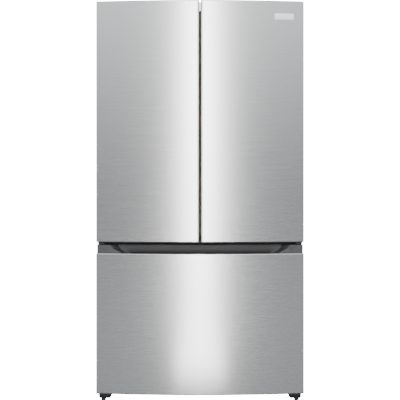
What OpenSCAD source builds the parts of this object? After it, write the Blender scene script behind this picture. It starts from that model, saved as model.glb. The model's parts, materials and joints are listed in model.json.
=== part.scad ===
// French door refrigerator with a freezer drawer below the doors.
// Doors face -Y, +Z is up, the origin is on the floor under the centre of the overall box.

/* [Overall] */
// Width across the two closed doors
front_w = 905; // [800:1:1100]
// Height of the door tops above the floor
door_top = 1775; // [1500:1:2150]
// Bulge of the door and drawer fronts at the centre line
crown = 30; // [15:1:45]
// Depth of the painted case
case_d = 614; // [540:1:740]
// Thickness of the doors and drawer at their side edges
door_t = 65.5; // [56:0.5:80]
// Thickness of the compressed gaskets
seal_t = 12; // [8:1:16]
// Stand-off of the rear spacers
spacer_t = 5.5; // [3:0.5:30]
// How far the case side sits inside the door edge
side_reveal = 3; // [0:0.5:8]

/* [Levels] */
// Underside of the case above the floor
case_bottom = 60; // [50:1:66]
// Underside of the drawer above the floor
drawer_bottom = 69; // [66:1:90]
// Height of the steel drawer front
drawer_h = 609; // [500:1:740]
// Height of the grip cap on the drawer
cap_h = 38; // [30:1:50]
// Gap between the grip cap and the doors
mid_gap = 12; // [11:1:20]
// How far the case top sits below the door tops
top_reveal = 25; // [22:1:40]
// Gap between the two doors
door_gap = 7.5; // [4:0.5:12]

/* [Walls] */
// Foam wall beside the fresh-food compartment
side_wall = 49.5; // [40:0.5:70]
// Foam wall above the fresh-food compartment
top_wall = 60; // [50:1:80]
// Foam wall behind the compartments
back_wall = 68; // [50:1:90]
// Sheet steel of the case and the skins
sheet = 1; // [0.6:0.1:1.6]
// Moulded liner thickness
liner_t = 2; // [1.5:0.1:3]
// Depth of the ridge around each door liner
ridge_d = 45; // [30:1:60]

/* [Hinges] */
// Hinge pin centre from the door's side edge
pin_in = 22.5; // [20:0.5:26]
// Hinge pin centre behind the door's front corner
pin_back = 33.5; // [32:0.5:36]
// Hinge pin radius
pin_r = 5; // [4:0.5:6]
// Running clearance around pins and axles, on the radius
run_gap = 0.05; // [0.02:0.01:0.1]

/* [Storage] */
// Bins on each door
bin_count = 3; // [2:1:3]
// Height of a door bin
bin_h = 105; // [80:1:130]
// Depth of a door bin behind the door back
bin_d = 108; // [70:1:112]
// Height of the crisper drawers
crisper_h = 200; // [150:1:240]
// Wall of bins, crispers and baskets
tub_t = 2.5; // [2:0.1:4]
// Depth of the freezer baskets, front to back
basket_d = 265; // [220:1:280]
// Height of the upper freezer basket
basket_h = 200; // [160:1:240]

/* [Feet] */
// Radius of a levelling foot pad
foot_r = 11; // [9:0.5:16]
// Radius of a rear roller
roller_r = 25; // [18:1:25]

/* [Hidden] */

steel = "silver";
case_grey = "gray";
dark = "dimgray";
white = "whitesmoke";
foam = "wheat";
clear_tint = "lightblue";

// Plan of the front: the crown is one arc through both side edges
half_w = front_w / 2;
front_y = -(crown + door_t + seal_t + case_d + spacer_t) / 2;
edge_y = front_y + crown;
door_back = edge_y + door_t;
case_front = door_back + seal_t;
case_back = case_front + case_d;
crown_r = (half_w * half_w + crown * crown) / (2 * crown);
case_half = half_w - side_reveal;
face_half = case_half - 13.5;

// Levels
drawer_top = drawer_bottom + drawer_h;
cap_top = drawer_top + cap_h;
door_bottom = cap_top + mid_gap;
case_top = door_top - top_reveal;
rail_z = [drawer_top - 18, door_bottom + 40];
fresh_z = [rail_z[1] + liner_t, case_top - top_wall];
freezer_z = [drawer_bottom + 61, rail_z[0] - liner_t];
fresh_half = case_half - side_wall;
freezer_half = fresh_half - 15;
liner_back = case_back - back_wall;

// Machine compartment at the foot of the back
bay_y = 152;
bay_top = freezer_z[0] + 98;
step_y = bay_y - 42;
step_z = bay_top + 42;
fan_z = freezer_z[1] - 90;

// Hinge axis of the left door; the right door mirrors it
pin_x = -(half_w - pin_in);
pin_y = edge_y + pin_back;
notch_z = case_top - 4;
arm_t = 4;
plate_z = [door_bottom - 9, door_bottom - 4];

// Door liner ridge and bins, for the left door
ridge_x = [-fresh_half + 6, -50];
ridge_w = 22;
ridge_z = [fresh_z[0] + 12, fresh_z[1] - 18];
bin_x = [ridge_x[0] + ridge_w + 0.5, ridge_x[1] - ridge_w - 0.5];
bin_pitch = (ridge_z[1] - ridge_z[0] - 2 * ridge_w) / bin_count;
ridge_back = door_back + ridge_d;

// Mullion bar, folded against the left door's free edge
fold_x = -40;
fold_y = case_front + 13;
bar_z = [fresh_z[0] + 22, fresh_z[1] - 22];
bar_w = 64;
bar_t = 16;

// Fresh-food fittings
shelf_front = case_front + 136;
duct_d = 20;
shelf_back = liner_back - duct_d - 4;
crisper_z = fresh_z[0] + 5;
cover_z = crisper_z + crisper_h + 6;
housing_z = fresh_z[1] - 45;
shelf_zone = housing_z - cover_z - 60;
track_x = [fresh_half - 30, 110];
duct_half = 90;

// Freezer fittings
slide_z = step_z + 30;
slide_y = [case_front + 11, liner_back - 42];
slide_len = slide_y[1] - slide_y[0];
frame_x = freezer_half - 30;
rail_top = slide_z + 108;
basket_y = case_front + 31;
tub_half = frame_x - 7;
upper_z = [freezer_z[1] - 30 - basket_h, freezer_z[1] - 30];
lower_z = [freezer_z[0] + 10, upper_z[0] - 38];

// Grip cap scoop
scoop_top = half_w - 60;
scoop_low = scoop_top - 58;
scoop_d = 40;
scoop_in = [38, 22];
scoop_y = front_y + 26;
undercut = 4.5;

eps = 0.01;

// Box from three ranges
module span(x, y, z)
  translate([x[0], y[0], z[0]]) cube([x[1] - x[0], y[1] - y[0], z[1] - z[0]]);

// A shape and its mirror image across the centre plane
module both_sides() {
  children();
  mirror([1, 0, 0]) children();
}

// Corner points of a rounded rectangle, centred
function soft_points(w, h, r, n = 5) = [for (q = [0:3], i = [0:n])
  let (a = 90 * q + 90 * i / n, sx = (q == 0 || q == 3) ? 1 : -1, sy = q < 2 ? 1 : -1)
  [sx * (w / 2 - r) + r * cos(a), sy * (h / 2 - r) + r * sin(a)]];

// Box with its vertical edges rounded
module soft_span(x, y, z, r)
  translate([(x[0] + x[1]) / 2, (y[0] + y[1]) / 2, z[0]])
    linear_extrude(z[1] - z[0]) polygon(soft_points(x[1] - x[0], y[1] - y[0], r));

// Open-topped tub with rounded corners
module tub(x, y, z, t, r) difference() {
  soft_span(x, y, z, r);
  soft_span([x[0] + t, x[1] - t], [y[0] + t, y[1] - t], [z[0] + t, z[1] + 1], r - t);
}

// Upright slab whose front follows the crown; inset moves the front and side faces inward
module crowned(x, inset, z, back = door_back)
  translate([0, 0, z[0]]) linear_extrude(z[1] - z[0]) intersection() {
    translate([0, front_y + crown_r]) circle(r = crown_r - inset, $fn = 720);
    translate([x[0] + inset, front_y - 1]) square([x[1] - x[0] - 2 * inset, back - front_y + 1]);
  }

// Curved strip behind the crown between two insets
module crowned_strip(x, near, far, z)
  translate([0, 0, z[0]]) linear_extrude(z[1] - z[0]) intersection() {
    difference() {
      translate([0, front_y + crown_r]) circle(r = crown_r - near, $fn = 720);
      translate([0, front_y + crown_r]) circle(r = crown_r - far, $fn = 720);
    }
    translate([x[0], front_y - 1]) square([x[1] - x[0], door_back - front_y]);
  }

// Folded steel skin: front and two side returns
module skin(x, z) color(steel) difference() {
  crowned(x, 0, z);
  crowned(x, sheet, [z[0] - 1, z[1] + 1], door_back + 5);
}

// Rectangular frame lying in an XZ plane
module ring(x, y, z, w) difference() {
  span(x, y, z);
  span([x[0] + w, x[1] - w], [y[0] - 1, y[1] + 1], [z[0] + w, z[1] - w]);
}

/* Cabinet */

module outer_case() color(case_grey) difference() {
  span([-case_half, case_half], [case_front, case_back], [case_bottom, case_top]);
  span([-case_half + sheet, case_half - sheet], [case_front + sheet, case_back + 1],
    [case_bottom - 1, case_top - sheet]);
  span([-face_half, face_half], [case_front - 1, case_front + 5], [case_bottom - 1, case_top - 12]);
}

module back_panel() color(case_grey) {
  span([-case_half + sheet, case_half - sheet], [case_back - sheet, case_back], [bay_top + 2, case_top - sheet]);
  both_sides() for (z = [bay_top + 120, case_top - 120])
    translate([case_half - 80, case_back, z]) rotate([-90, 0, 0]) cylinder(r = 12, h = spacer_t, $fn = 48);
}

module base_frame() color(dark) {
  difference() {
    union() {
      span([-case_half + sheet, case_half - sheet], [case_front + sheet + eps, case_back - sheet],
        [case_bottom, case_bottom + 2]);
      span([-face_half + 1, face_half - 1], [case_front, case_front + 2], [case_bottom, freezer_z[0] - 32]);
    }
    for (x = [-300:100:300]) translate([x, bay_y + 60, case_bottom - 1]) cylinder(r = 14, h = 4, $fn = 36);
  }
  span([-case_half + sheet, case_half - sheet], [bay_y - 2, bay_y], [case_bottom + 2, bay_top + 2]);
  span([-case_half + sheet, case_half - sheet], [bay_y, case_back - sheet], [bay_top, bay_top + 2]);
}

module case_insulation() color(foam) difference() {
  span([-case_half + sheet, case_half - sheet], [case_front + liner_t, case_back - sheet],
    [case_bottom + 2, case_top - sheet]);
  span([-fresh_half - liner_t, fresh_half + liner_t], [case_front, liner_back + liner_t],
    [fresh_z[0] - liner_t, fresh_z[1] + liner_t]);
  freezer_box(liner_t);
  span([-face_half, face_half], [case_front, case_front + 30], rail_z);
  span([-case_half, case_half], [bay_y - 2, case_back], [case_bottom, bay_top + 2]);
}

module fresh_food_liner() color(white) {
  difference() {
    union() {
      span([-fresh_half - liner_t, fresh_half + liner_t], [case_front, liner_back + liner_t],
        [fresh_z[0] - liner_t, fresh_z[1] + liner_t]);
      span([-face_half, face_half], [case_front, case_front + liner_t], [rail_z[1], case_top - 12]);
    }
    span([-fresh_half, fresh_half], [case_front - 1, liner_back], fresh_z);
  }
  both_sides() for (x = [60, fresh_half - 60])
    span([x - 3, x + 3], [shelf_front - 10, shelf_back - 10], [fresh_z[0], crisper_z - 0.5]);
}

// The freezer compartment with its step over the machine bay, grown by a wall
module freezer_box(t) {
  span([-freezer_half - t, freezer_half + t], [case_front - 1 + t / 2, step_y + t], [freezer_z[0] - t, freezer_z[1] + t]);
  span([-freezer_half - t, freezer_half + t], [step_y - 1, liner_back + t], [step_z - t, freezer_z[1] + t]);
}

module freezer_liner() color(white) difference() {
  union() {
    intersection() {
      freezer_box(liner_t);
      span([-half_w, half_w], [case_front, case_back], [0, door_top]);
    }
    span([-face_half, face_half], [case_front, case_front + liner_t], [freezer_z[0] - 30, rail_z[0]]);
  }
  freezer_box(0);
  span([-freezer_half, freezer_half], [case_front - 2, case_front + 2], freezer_z);
}

module center_rail() color(case_grey) difference() {
  span([-face_half, face_half], [case_front, case_front + 30], rail_z);
  span([-face_half + 2, face_half - 2], [case_front + 2, case_front + 31], [rail_z[0] + 2, rail_z[1] - 2]);
}

module top_hinges() color(dark) both_sides() {
  difference() {
    union() {
      span([pin_x - 10, pin_x + 10], [pin_y, case_front + 20], [case_top, case_top + arm_t]);
      translate([pin_x, pin_y, case_top]) cylinder(r = 12, h = arm_t, $fn = 64);
      span([pin_x - 16, pin_x + 44], [case_front + 8, case_front + 96], [case_top, case_top + arm_t]);
    }
    for (s = hinge_screws) translate([s[0], s[1], case_top - 1]) cylinder(r = 3.2, h = arm_t + 2, $fn = 32);
  }
  translate([pin_x, pin_y, notch_z - 16]) cylinder(r = pin_r, h = case_top - notch_z + 16 + eps, $fn = 64);
}

hinge_screws = [[pin_x - 4, case_front + 32], [pin_x + 32, case_front + 32], [pin_x + 14, case_front + 80]];
flange_x = [-case_half, pin_x - 1];

module hinge_plates() {
  top_hinges();
  center_hinges();
}

module center_hinges() color(dark) both_sides() {
  difference() {
    span([-case_half, pin_x + 26], [pin_y - 14, case_front], plate_z);
    translate([pin_x + 26, pin_y - 14, plate_z[0] - 1]) rotate([0, 0, 45]) cube([24, 24, 20], center = true);
  }
  difference() {
    span(flange_x, [case_front - 3, case_front], [drawer_top + 10, door_bottom + 22]);
    for (z = [drawer_top + 18, door_bottom + 14]) translate([-case_half + 9, case_front - 4, z])
      rotate([-90, 0, 0]) cylinder(r = 2.6, h = 5, $fn = 32);
  }
  translate([pin_x, pin_y, plate_z[1] - eps]) cylinder(r = pin_r, h = 21, $fn = 64);
}

module hinge_covers() color(dark) both_sides() difference() {
  soft_span([pin_x - 18, pin_x + 54], [case_front + 1, case_front + 108], [case_top, case_top + 21], 8);
  soft_span([pin_x - 16.5, pin_x + 52.5], [case_front + 2.5, case_front + 106.5], [case_top - 1, case_top + 19.5], 6.5);
  span([pin_x - 11, pin_x + 11], [case_front, case_front + 4], [case_top - 1, case_top + arm_t + 1]);
}

module screw(r, shank) {
  difference() {
    cylinder(r = r, h = 2.4, $fn = 32);
    translate([0, 0, 1.2]) cylinder(r = r * 0.45, h = 2, $fn = 6);
  }
  translate([0, 0, -shank]) cylinder(r = r * 0.48, h = shank + eps, $fn = 24);
}

rear_screw_x = [for (i = [0:3]) -case_half + 24 + i * (2 * case_half - 48) / 3];

module case_screws() color("lightgray") {
  both_sides() {
    for (s = hinge_screws) translate([s[0], s[1], case_top + arm_t]) screw(6, arm_t);
    for (z = [drawer_top + 18, door_bottom + 14])
      translate([-case_half + 9, case_front - 3, z]) rotate([90, 0, 0]) screw(4.5, 3);
  }
  for (x = rear_screw_x, z = [case_bottom + 14, bay_top - 14])
    translate([x, case_back + 1.2, z]) rotate([-90, 0, 0]) screw(4.5, 1.2);
}

bracket_w = 55;
bracket_d = 50;
bracket_low = 29;
foot_x = case_half - 19.5;
foot_y = case_front + 17;
roller_y = case_back - 38;

module leg_brackets() color("black") both_sides() difference() {
  translate([case_half - bracket_w / 2, case_front + bracket_d, (bracket_low + case_bottom) / 2])
    rotate([90, 0, 0]) linear_extrude(bracket_d) intersection() {
      translate([0, 10]) polygon(soft_points(bracket_w, case_bottom - bracket_low + 20, 9));
      square([bracket_w + 2, case_bottom - bracket_low], center = true);
    }
  span([case_half - bracket_w + 3, case_half - 3], [case_front + 3, case_front + bracket_d + 1],
    [bracket_low + 4, case_bottom + 1]);
  translate([foot_x, foot_y, bracket_low - 1]) cylinder(r = 5 + run_gap, h = 7, $fn = 48);
}

module roller_brackets() color(dark) both_sides() {
  for (x = [foot_x - 17, foot_x + 14]) span([x, x + 3], [roller_y - 22, roller_y + 22], [roller_r - 12, case_bottom]);
  span([foot_x - 17, foot_x + 17], [roller_y - 22, roller_y + 22], [case_bottom - 3, case_bottom]);
  translate([foot_x - 15, roller_y, roller_r]) rotate([0, 90, 0]) cylinder(r = 4, h = 30, $fn = 48);
}

module roller() color("black") translate([foot_x, roller_y, roller_r]) rotate([0, 90, 0]) difference() {
  cylinder(r = roller_r, h = 20, center = true, $fn = 96);
  cylinder(r = 4 + run_gap, h = 30, center = true, $fn = 48);
  for (s = [-1, 1], a = [0:60:300]) rotate([0, 0, a]) translate([roller_r * 0.58, 0, s * 10])
    cylinder(r = 4, h = 8, center = true, $fn = 32);
}
module left_roller() mirror([1, 0, 0]) roller();
module right_roller() roller();

module foot() color("black") translate([foot_x, foot_y, 0]) {
  cylinder(r = foot_r, h = 7, $fn = 64);
  translate([0, 0, bracket_low - 15]) cylinder(r = foot_r, h = 12, $fn = 6);
  translate([0, 0, 7 - eps]) cylinder(r = 5, h = case_bottom - 12, $fn = 48);
}
module left_foot() mirror([1, 0, 0]) foot();
module right_foot() foot();

/* Fresh-food fittings */

housing_half = 170;
housing_y = [shelf_front - 30, shelf_front + 220];
lens_y = [shelf_front + 60, shelf_front + 180];

module control_housing() color(white) difference() {
  soft_span([-housing_half, housing_half], housing_y, [housing_z, fresh_z[1]], 10);
  soft_span([-housing_half + 3, housing_half - 3], [housing_y[0] + 3, housing_y[1] - 3],
    [housing_z + 3, fresh_z[1] + 1], 7);
  span([-80, 80], lens_y, [housing_z - 1, housing_z + 4]);
  for (x = [-110, 110]) span([x - 22, x + 22], [housing_y[0] - 1, housing_y[0] + 4], [housing_z + 14, housing_z + 20]);
  for (x = button_x) span([x - 12, x + 12], [housing_y[0] - 1, housing_y[0] + 4], [housing_z + 12, housing_z + 26]);
}

button_x = [-28, 28];
button_gap = 0.3;

// Push button standing proud of the housing front
module button(x) color(dark) soft_span([x - 12 + button_gap, x + 12 - button_gap],
  [housing_y[0] - 2, housing_y[0] + 12], [housing_z + 12 + button_gap, housing_z + 26 - button_gap], 1);
module light_button() button(button_x[0]);
module cooling_button() button(button_x[1]);

module light_lens() color("white")
  span([-79.8, 79.8], [lens_y[0] + 0.2, lens_y[1] - 0.2], [housing_z, housing_z + 3]);

module shelf_tracks() color(steel) both_sides() for (x = track_x) difference() {
  span([x - 8, x + 8], [liner_back - 6, liner_back], [cover_z + 40, housing_z - 20]);
  for (i = [0:floor((housing_z - cover_z - 100) / 40)])
    span([x - 2, x + 2], [liner_back - 7, liner_back - 1.5], [cover_z + 60 + i * 40, cover_z + 74 + i * 40]);
}

shelf_x = [10, fresh_half - 5];
shelf_z = [[cover_z + shelf_zone * 0.34, cover_z + shelf_zone * 0.7],
  [cover_z + shelf_zone * 0.46, cover_z + shelf_zone * 0.86]];

// One cantilever shelf frame on the right-hand side
module shelf_frame(z) {
  difference() {
    span(shelf_x, [shelf_front, shelf_back], [z, z + 14]);
    span([shelf_x[0] + 12, shelf_x[1] - 12], [shelf_front + 12, shelf_back - 12], [z - 1, z + 15]);
    span([shelf_x[0] + 5, shelf_x[1] - 5], [shelf_front + 5, shelf_back - 5], [z + 9, z + 15]);
  }
  for (x = track_x) {
    translate([x + 1.5, 0, 0]) rotate([0, -90, 0]) linear_extrude(3)
      polygon([[z - 34, liner_back - 6], [z + 9, liner_back - 6], [z + 9, shelf_back - 6], [z, shelf_back - 6],
        [z, shelf_front + 60], [z - 6, shelf_front + 60], [z - 34, shelf_back - 6]]);
  }
}

module shelf_frames() color(steel) {
  for (z = shelf_z[1]) shelf_frame(z);
  mirror([1, 0, 0]) for (z = shelf_z[0]) shelf_frame(z);
}

module shelf_pane(z) span([shelf_x[0] + 5.3, shelf_x[1] - 5.3], [shelf_front + 5.3, shelf_back - 5.3], [z + 9, z + 13.5]);

module shelf_glass() color(clear_tint) {
  for (z = shelf_z[1]) shelf_pane(z);
  mirror([1, 0, 0]) for (z = shelf_z[0]) shelf_pane(z);
}

module crisper_cover() color(white) {
  difference() {
    span([-fresh_half + 1, fresh_half - 1], [shelf_front, shelf_back], [cover_z, cover_z + 10]);
    both_sides() span([14, fresh_half - 15], [shelf_front + 14, shelf_back - 14], [cover_z + 5, cover_z + 11]);
  }
  span([-4, 4], [shelf_front + 4, shelf_back], [fresh_z[0], cover_z + eps]);
}

// Crisper drawer on the right, with a grip lip
module crisper() color(clear_tint) {
  x = [9, fresh_half - 5];
  y = [shelf_front, shelf_front + 350];
  tub(x, y, [crisper_z, crisper_z + crisper_h], tub_t, 14);
  span([x[0] + 20, x[1] - 20], [y[0] - 10, y[0] + 1], [crisper_z + crisper_h - 8, crisper_z + crisper_h - 4]);
  span([x[0] + 20, x[1] - 20], [y[0] - 10, y[0] - 7], [crisper_z + crisper_h - 26, crisper_z + crisper_h - 8 + eps]);
}
module left_crisper() mirror([1, 0, 0]) crisper();
module right_crisper() crisper();

flap_z = housing_z - 60;

module air_duct_cover() color(white) difference() {
  span([-duct_half, duct_half], [liner_back - duct_d, liner_back], [cover_z + 50, housing_z - 10]);
  span([-duct_half + 2, duct_half - 2], [liner_back - duct_d + 2, liner_back + 1], [cover_z + 52, housing_z - 12]);
  for (i = [0:4], s = [-1, 1])
    span([s * 45 - 22, s * 45 + 22], [liner_back - duct_d - 1, liner_back - duct_d + 3],
      [cover_z + 90 + i * 50, cover_z + 96 + i * 50]);
  span([-35, 35], [liner_back - duct_d - 1, liner_back - duct_d + 3], [flap_z - 40, flap_z + 4]);
}

// Flap plate hanging from a thin axle that rests in the sides of its opening
module damper_flap() color(dark) {
  translate([-34.5, liner_back - duct_d + 1, flap_z]) rotate([0, 90, 0]) cylinder(r = 1.5, h = 69, $fn = 32);
  span([-33, 33], [liner_back - duct_d + 0.2, liner_back - duct_d + 1.8], [flap_z - 38, flap_z]);
}

/* Cooling system */

module evaporator_cover() color(white) difference() {
  span([-freezer_half + 4, freezer_half - 4], [liner_back - 40, liner_back - 37.5], [step_z + 5, freezer_z[1] - 5]);
  translate([0, liner_back - 36, fan_z]) rotate([90, 0, 0]) cylinder(r = 56, h = 6, $fn = 96);
  for (i = [-3:3]) span([i * 80 - 28, i * 80 + 28], [liner_back - 41, liner_back - 36], [step_z + 25, step_z + 31]);
}

// Finned coil: straight tubes, return bends and flat fins
module coil(half, rows, pitch, fin_gap, depth) {
  for (i = [0:rows - 1]) {
    translate([-half, 0, i * pitch]) rotate([0, 90, 0]) cylinder(r = 4, h = 2 * half, $fn = 32);
    if (i < rows - 1) translate([i % 2 == 0 ? half : -half, 0, (i + 0.5) * pitch])
      rotate([90, 0, 0]) rotate([0, 0, i % 2 == 0 ? -90 : 90])
        rotate_extrude(angle = 180, $fn = 48) translate([pitch / 2, 0]) circle(r = 4, $fn = 32);
  }
  for (x = [-half + 20:fin_gap:half - 20])
    span([x - 0.4, x + 0.4], [-depth / 2, depth / 2], [-10, (rows - 1) * pitch + 10]);
}

module evaporator_coil() color("silver")
  translate([0, liner_back - 18, step_z + 40]) coil(300, floor((fan_z - 60 - step_z - 40) / 32), 32, 30, 28);

module compressor() color("black") translate([-case_half + 150, bay_y + 100, case_bottom + 2]) {
  difference() {
    union() {
      rotate_extrude($fn = 96) polygon(concat([[0, 8], [66, 8], [68, 20], [68, 96]],
        [for (a = [10:10:90]) [68 * cos(a), 96 + 34 * sin(a)]]));
      span([-84, 84], [-60, 60], [0, 8 + eps]);
    }
    for (x = [-74, 74], y = [-50, 50]) translate([x, y, -1]) cylinder(r = 5, h = 12, $fn = 32);
  }
  translate([68 - 6, 0, 50]) rotate([0, 90, 0]) cylinder(r = 5, h = 34, $fn = 32);
}

cond_x = 120;
cond_half = 130;
cfan_x = cond_x - cond_half - 34;
cfan_z = case_bottom + 84;

module condenser_coil() color("black")
  translate([cond_x, bay_y + 100, case_bottom + 26]) coil(cond_half - 20, 5, 28, 22, 120);

module rear_cover() color(case_grey) difference() {
  span([-case_half + 8, case_half - 8], [case_back, case_back + 1.2], [case_bottom + 4, bay_top - 2]);
  for (i = [0:13], z = [0:2])
    span([-280 + i * 40, -252 + i * 40], [case_back - 1, case_back + 2], [case_bottom + 50 + z * 26, case_bottom + 58 + z * 26]);
  for (x = rear_screw_x, z = [case_bottom + 14, bay_top - 14])
    translate([x, case_back - 1, z]) rotate([-90, 0, 0]) cylinder(r = 2.2, h = 4, $fn = 24);
}

// Fan wheel around +Z with flat pitched blades
module fan_wheel(r, blades) {
  difference() {
    cylinder(r = r * 0.3, h = 16, center = true, $fn = 64);
    translate([0, 0, -2]) cylinder(r = 3 + run_gap, h = 22, center = true, $fn = 32);
  }
  for (a = [0:360 / blades:359]) rotate([0, 0, a]) translate([r * 0.64, 0, 0]) rotate([35, 0, 0])
    cube([r * 0.72, r * 0.36, 1.6], center = true);
}

module condenser_fan() color(dark) translate([cfan_x, bay_y + 100, cfan_z]) rotate([0, 90, 0]) fan_wheel(60, 5);
module evaporator_fan() color(dark) translate([0, liner_back - 28, fan_z]) rotate([90, 0, 0]) fan_wheel(48, 5);

module fan_motors() color(dark) {
  translate([cfan_x - 42, bay_y + 100, cfan_z]) rotate([0, 90, 0]) cylinder(r = 22, h = 30, $fn = 64);
  translate([cfan_x - 12 - eps, bay_y + 100, cfan_z]) rotate([0, 90, 0]) cylinder(r = 3, h = 18, $fn = 32);
  span([cfan_x - 34, cfan_x - 28], [bay_y + 80, bay_y + 120], [case_bottom + 2, cfan_z]);
  translate([0, liner_back, fan_z]) rotate([90, 0, 0]) cylinder(r = 18, h = 16, $fn = 64);
  translate([0, liner_back - 16 + eps, fan_z]) rotate([90, 0, 0]) cylinder(r = 3, h = 18, $fn = 32);
}

/* Freezer slides */

// C-section lying along Y, open toward the centre plane, on the right-hand side
module channel(x, y, z, t) difference() {
  span(x, y, z);
  span([x[0] - 1, x[1] - t], [y[0] - 1, y[1] + 1], [z[0] + t, z[1] - t]);
}

module slide_rails() color(steel) both_sides() {
  channel([freezer_half - 22, freezer_half], slide_y, [slide_z, slide_z + 44], 2);
}

module slide_middles() color(steel) both_sides()
  channel([freezer_half - 26, freezer_half - 4], [slide_y[0], slide_y[1] - 20], [slide_z + 4, slide_z + 40], 2);

module drawer_frame() color(steel) both_sides() {
  channel([frame_x, freezer_half - 8], [slide_y[0], slide_y[1] - 40], [slide_z + 8, slide_z + 36], 2);
  difference() {
    span([frame_x - 3, frame_x], [door_back, slide_y[1] - 40], [min(slide_z, lower_z[1] - 10), rail_top]);
    for (i = [0:4]) soft_window([frame_x - 4, frame_x + 1], slide_y[0] + 50 + i * (slide_len - 120) / 4, slide_z + 72);
  }
  span([frame_x - 15, frame_x], [slide_y[0] + 20, slide_y[1] - 40], [rail_top - 3, rail_top]);
  span([frame_x - 40, frame_x], [door_back, door_back + 3], [slide_z - 30, rail_top]);
}

module soft_window(x, y, z) translate([x[0], y, z]) rotate([0, 90, 0])
  linear_extrude(x[1] - x[0]) polygon(soft_points(44, 60, 8));

module basket_vents(x, y, z, n) for (i = [0:n - 1])
  span([x[0] - 1, x[1] + 1], [y + i * 34, y + i * 34 + 18], z);

module lower_basket() color(white) difference() {
  union() {
    tub([-tub_half, tub_half], [basket_y, basket_y + 320], lower_z, tub_t, 16);
    both_sides() span([tub_half - 1, frame_x - 3], [basket_y + 20, basket_y + 300], [lower_z[1] - 6, lower_z[1] - 2]);
  }
  basket_vents([-tub_half - 2, tub_half + 2], basket_y + 28, [lower_z[0] + 40, lower_z[0] + 100], 8);
}

module upper_basket() color(white) difference() {
  union() {
    tub([-tub_half + 10, tub_half - 10], [basket_y, basket_y + basket_d], upper_z, tub_t, 16);
    both_sides() span([tub_half - 12, frame_x - 2], [basket_y + 20, basket_y + basket_d - 20], [rail_top + 0.3, rail_top + 3]);
    both_sides() span([tub_half - 12, tub_half - 9.5], [basket_y + 20, basket_y + basket_d - 20], [rail_top + 0.3, upper_z[0] + 20]);
  }
  basket_vents([-tub_half, tub_half], basket_y + 28, [upper_z[0] + 60, upper_z[0] + 140], 6);
}

/* Doors: the left one is drawn, the right one is its mirror image */

door_x = [-half_w, -door_gap / 2];
lip = 2;
skin_z = [door_bottom + lip, door_top - lip];
plug_low = door_bottom + 26;
plug_top = door_top - 6;
block_low = notch_z - 24;

// Room for the hinge arm as the door turns under it
module hinge_notch() translate([pin_x, pin_y, notch_z]) {
  cylinder(r = 33, h = 60, $fn = 96);
  translate([-pin_in - 1, -31, 0]) cube([pin_in + 1, 66, 60]);
  translate([-pin_in - 1, 0, 0]) cube([pin_in + 31, 60, 60]);
}

module door_skin() difference() {
  skin(door_x, skin_z);
  hinge_notch();
}

module hinge_block() span([-half_w, pin_x + 38], [front_y - 1, door_back - liner_t], [block_low, plug_top + eps]);

module door_caps() color(dark) {
  difference() {
    union() {
      crowned(door_x, 0, [door_bottom, skin_z[0]]);
      crowned(door_x, sheet, [skin_z[0] - eps, plug_low], door_back - liner_t);
    }
    crowned_strip([-scoop_top + 22.5, -24], 6, 30, [door_bottom - 1, door_bottom + 19]);
    translate([pin_x, pin_y, door_bottom - 1]) cylinder(r = pin_r + run_gap, h = 19, $fn = 64);
  }
  difference() {
    union() {
      crowned(door_x, 0, [skin_z[1], door_top]);
      crowned(door_x, sheet, [plug_top, skin_z[1] + eps], door_back - liner_t);
      intersection() {
        crowned(door_x, sheet, [block_low, plug_top + eps], door_back - liner_t);
        hinge_block();
      }
    }
    hinge_notch();
    translate([pin_x, pin_y, notch_z - 18]) cylinder(r = pin_r + run_gap, h = 20, $fn = 64);
  }
}

liner_x = [-half_w + sheet, -door_gap / 2 - sheet];

module ridge_core() difference() {
  span([ridge_x[0] + liner_t, ridge_x[1] - liner_t], [door_back - liner_t - eps, ridge_back - liner_t],
    [ridge_z[0] + liner_t, ridge_z[1] - liner_t]);
  span([ridge_x[0] + ridge_w - liner_t, ridge_x[1] - ridge_w + liner_t], [door_back - 5, ridge_back],
    [ridge_z[0] + ridge_w - liner_t, ridge_z[1] - ridge_w + liner_t]);
}

module door_liner() color(white) difference() {
  union() {
    span(liner_x, [door_back - liner_t, door_back], skin_z);
    ring(ridge_x, [door_back - eps, ridge_back], ridge_z, ridge_w);
    for (i = [0:bin_count - 1], x = [bin_x[0] - 1, bin_x[1] - 5])
      span([x, x + 6], [door_back - eps, ridge_back - 4], [bin_level(i) - 10, bin_level(i) - 0.3]);
    for (z = [bar_z[0] - 14, bar_z[1] + 2]) span([fold_x - 7, fold_x + 7], [door_back - eps, fold_y + 7], [z, z + 12]);
  }
  ridge_core();
  hinge_notch();
  for (z = [bar_z[0] - 15, bar_z[1] + 1]) translate([fold_x, fold_y, z]) cylinder(r = 3 + run_gap, h = 14, $fn = 48);
}

function bin_level(i) = ridge_z[0] + ridge_w + 12 + i * bin_pitch;

module door_insulation() color(foam) {
  difference() {
    crowned(door_x, sheet, [plug_low, plug_top], door_back - liner_t);
    intersection() {
      hinge_block();
      crowned(door_x, 0, [block_low, door_top]);
    }
  }
  ridge_core();
}

module door_gasket() color("white")
  ring([pin_x + 1, -13], [door_back, case_front], [door_bottom + 14, case_top - 8], 14);

module door_bins() color(clear_tint) for (i = [0:bin_count - 1])
  tub(bin_x, [door_back + 1, door_back + 5 + bin_d], [bin_level(i), bin_level(i) + bin_h], tub_t, 12);

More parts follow.
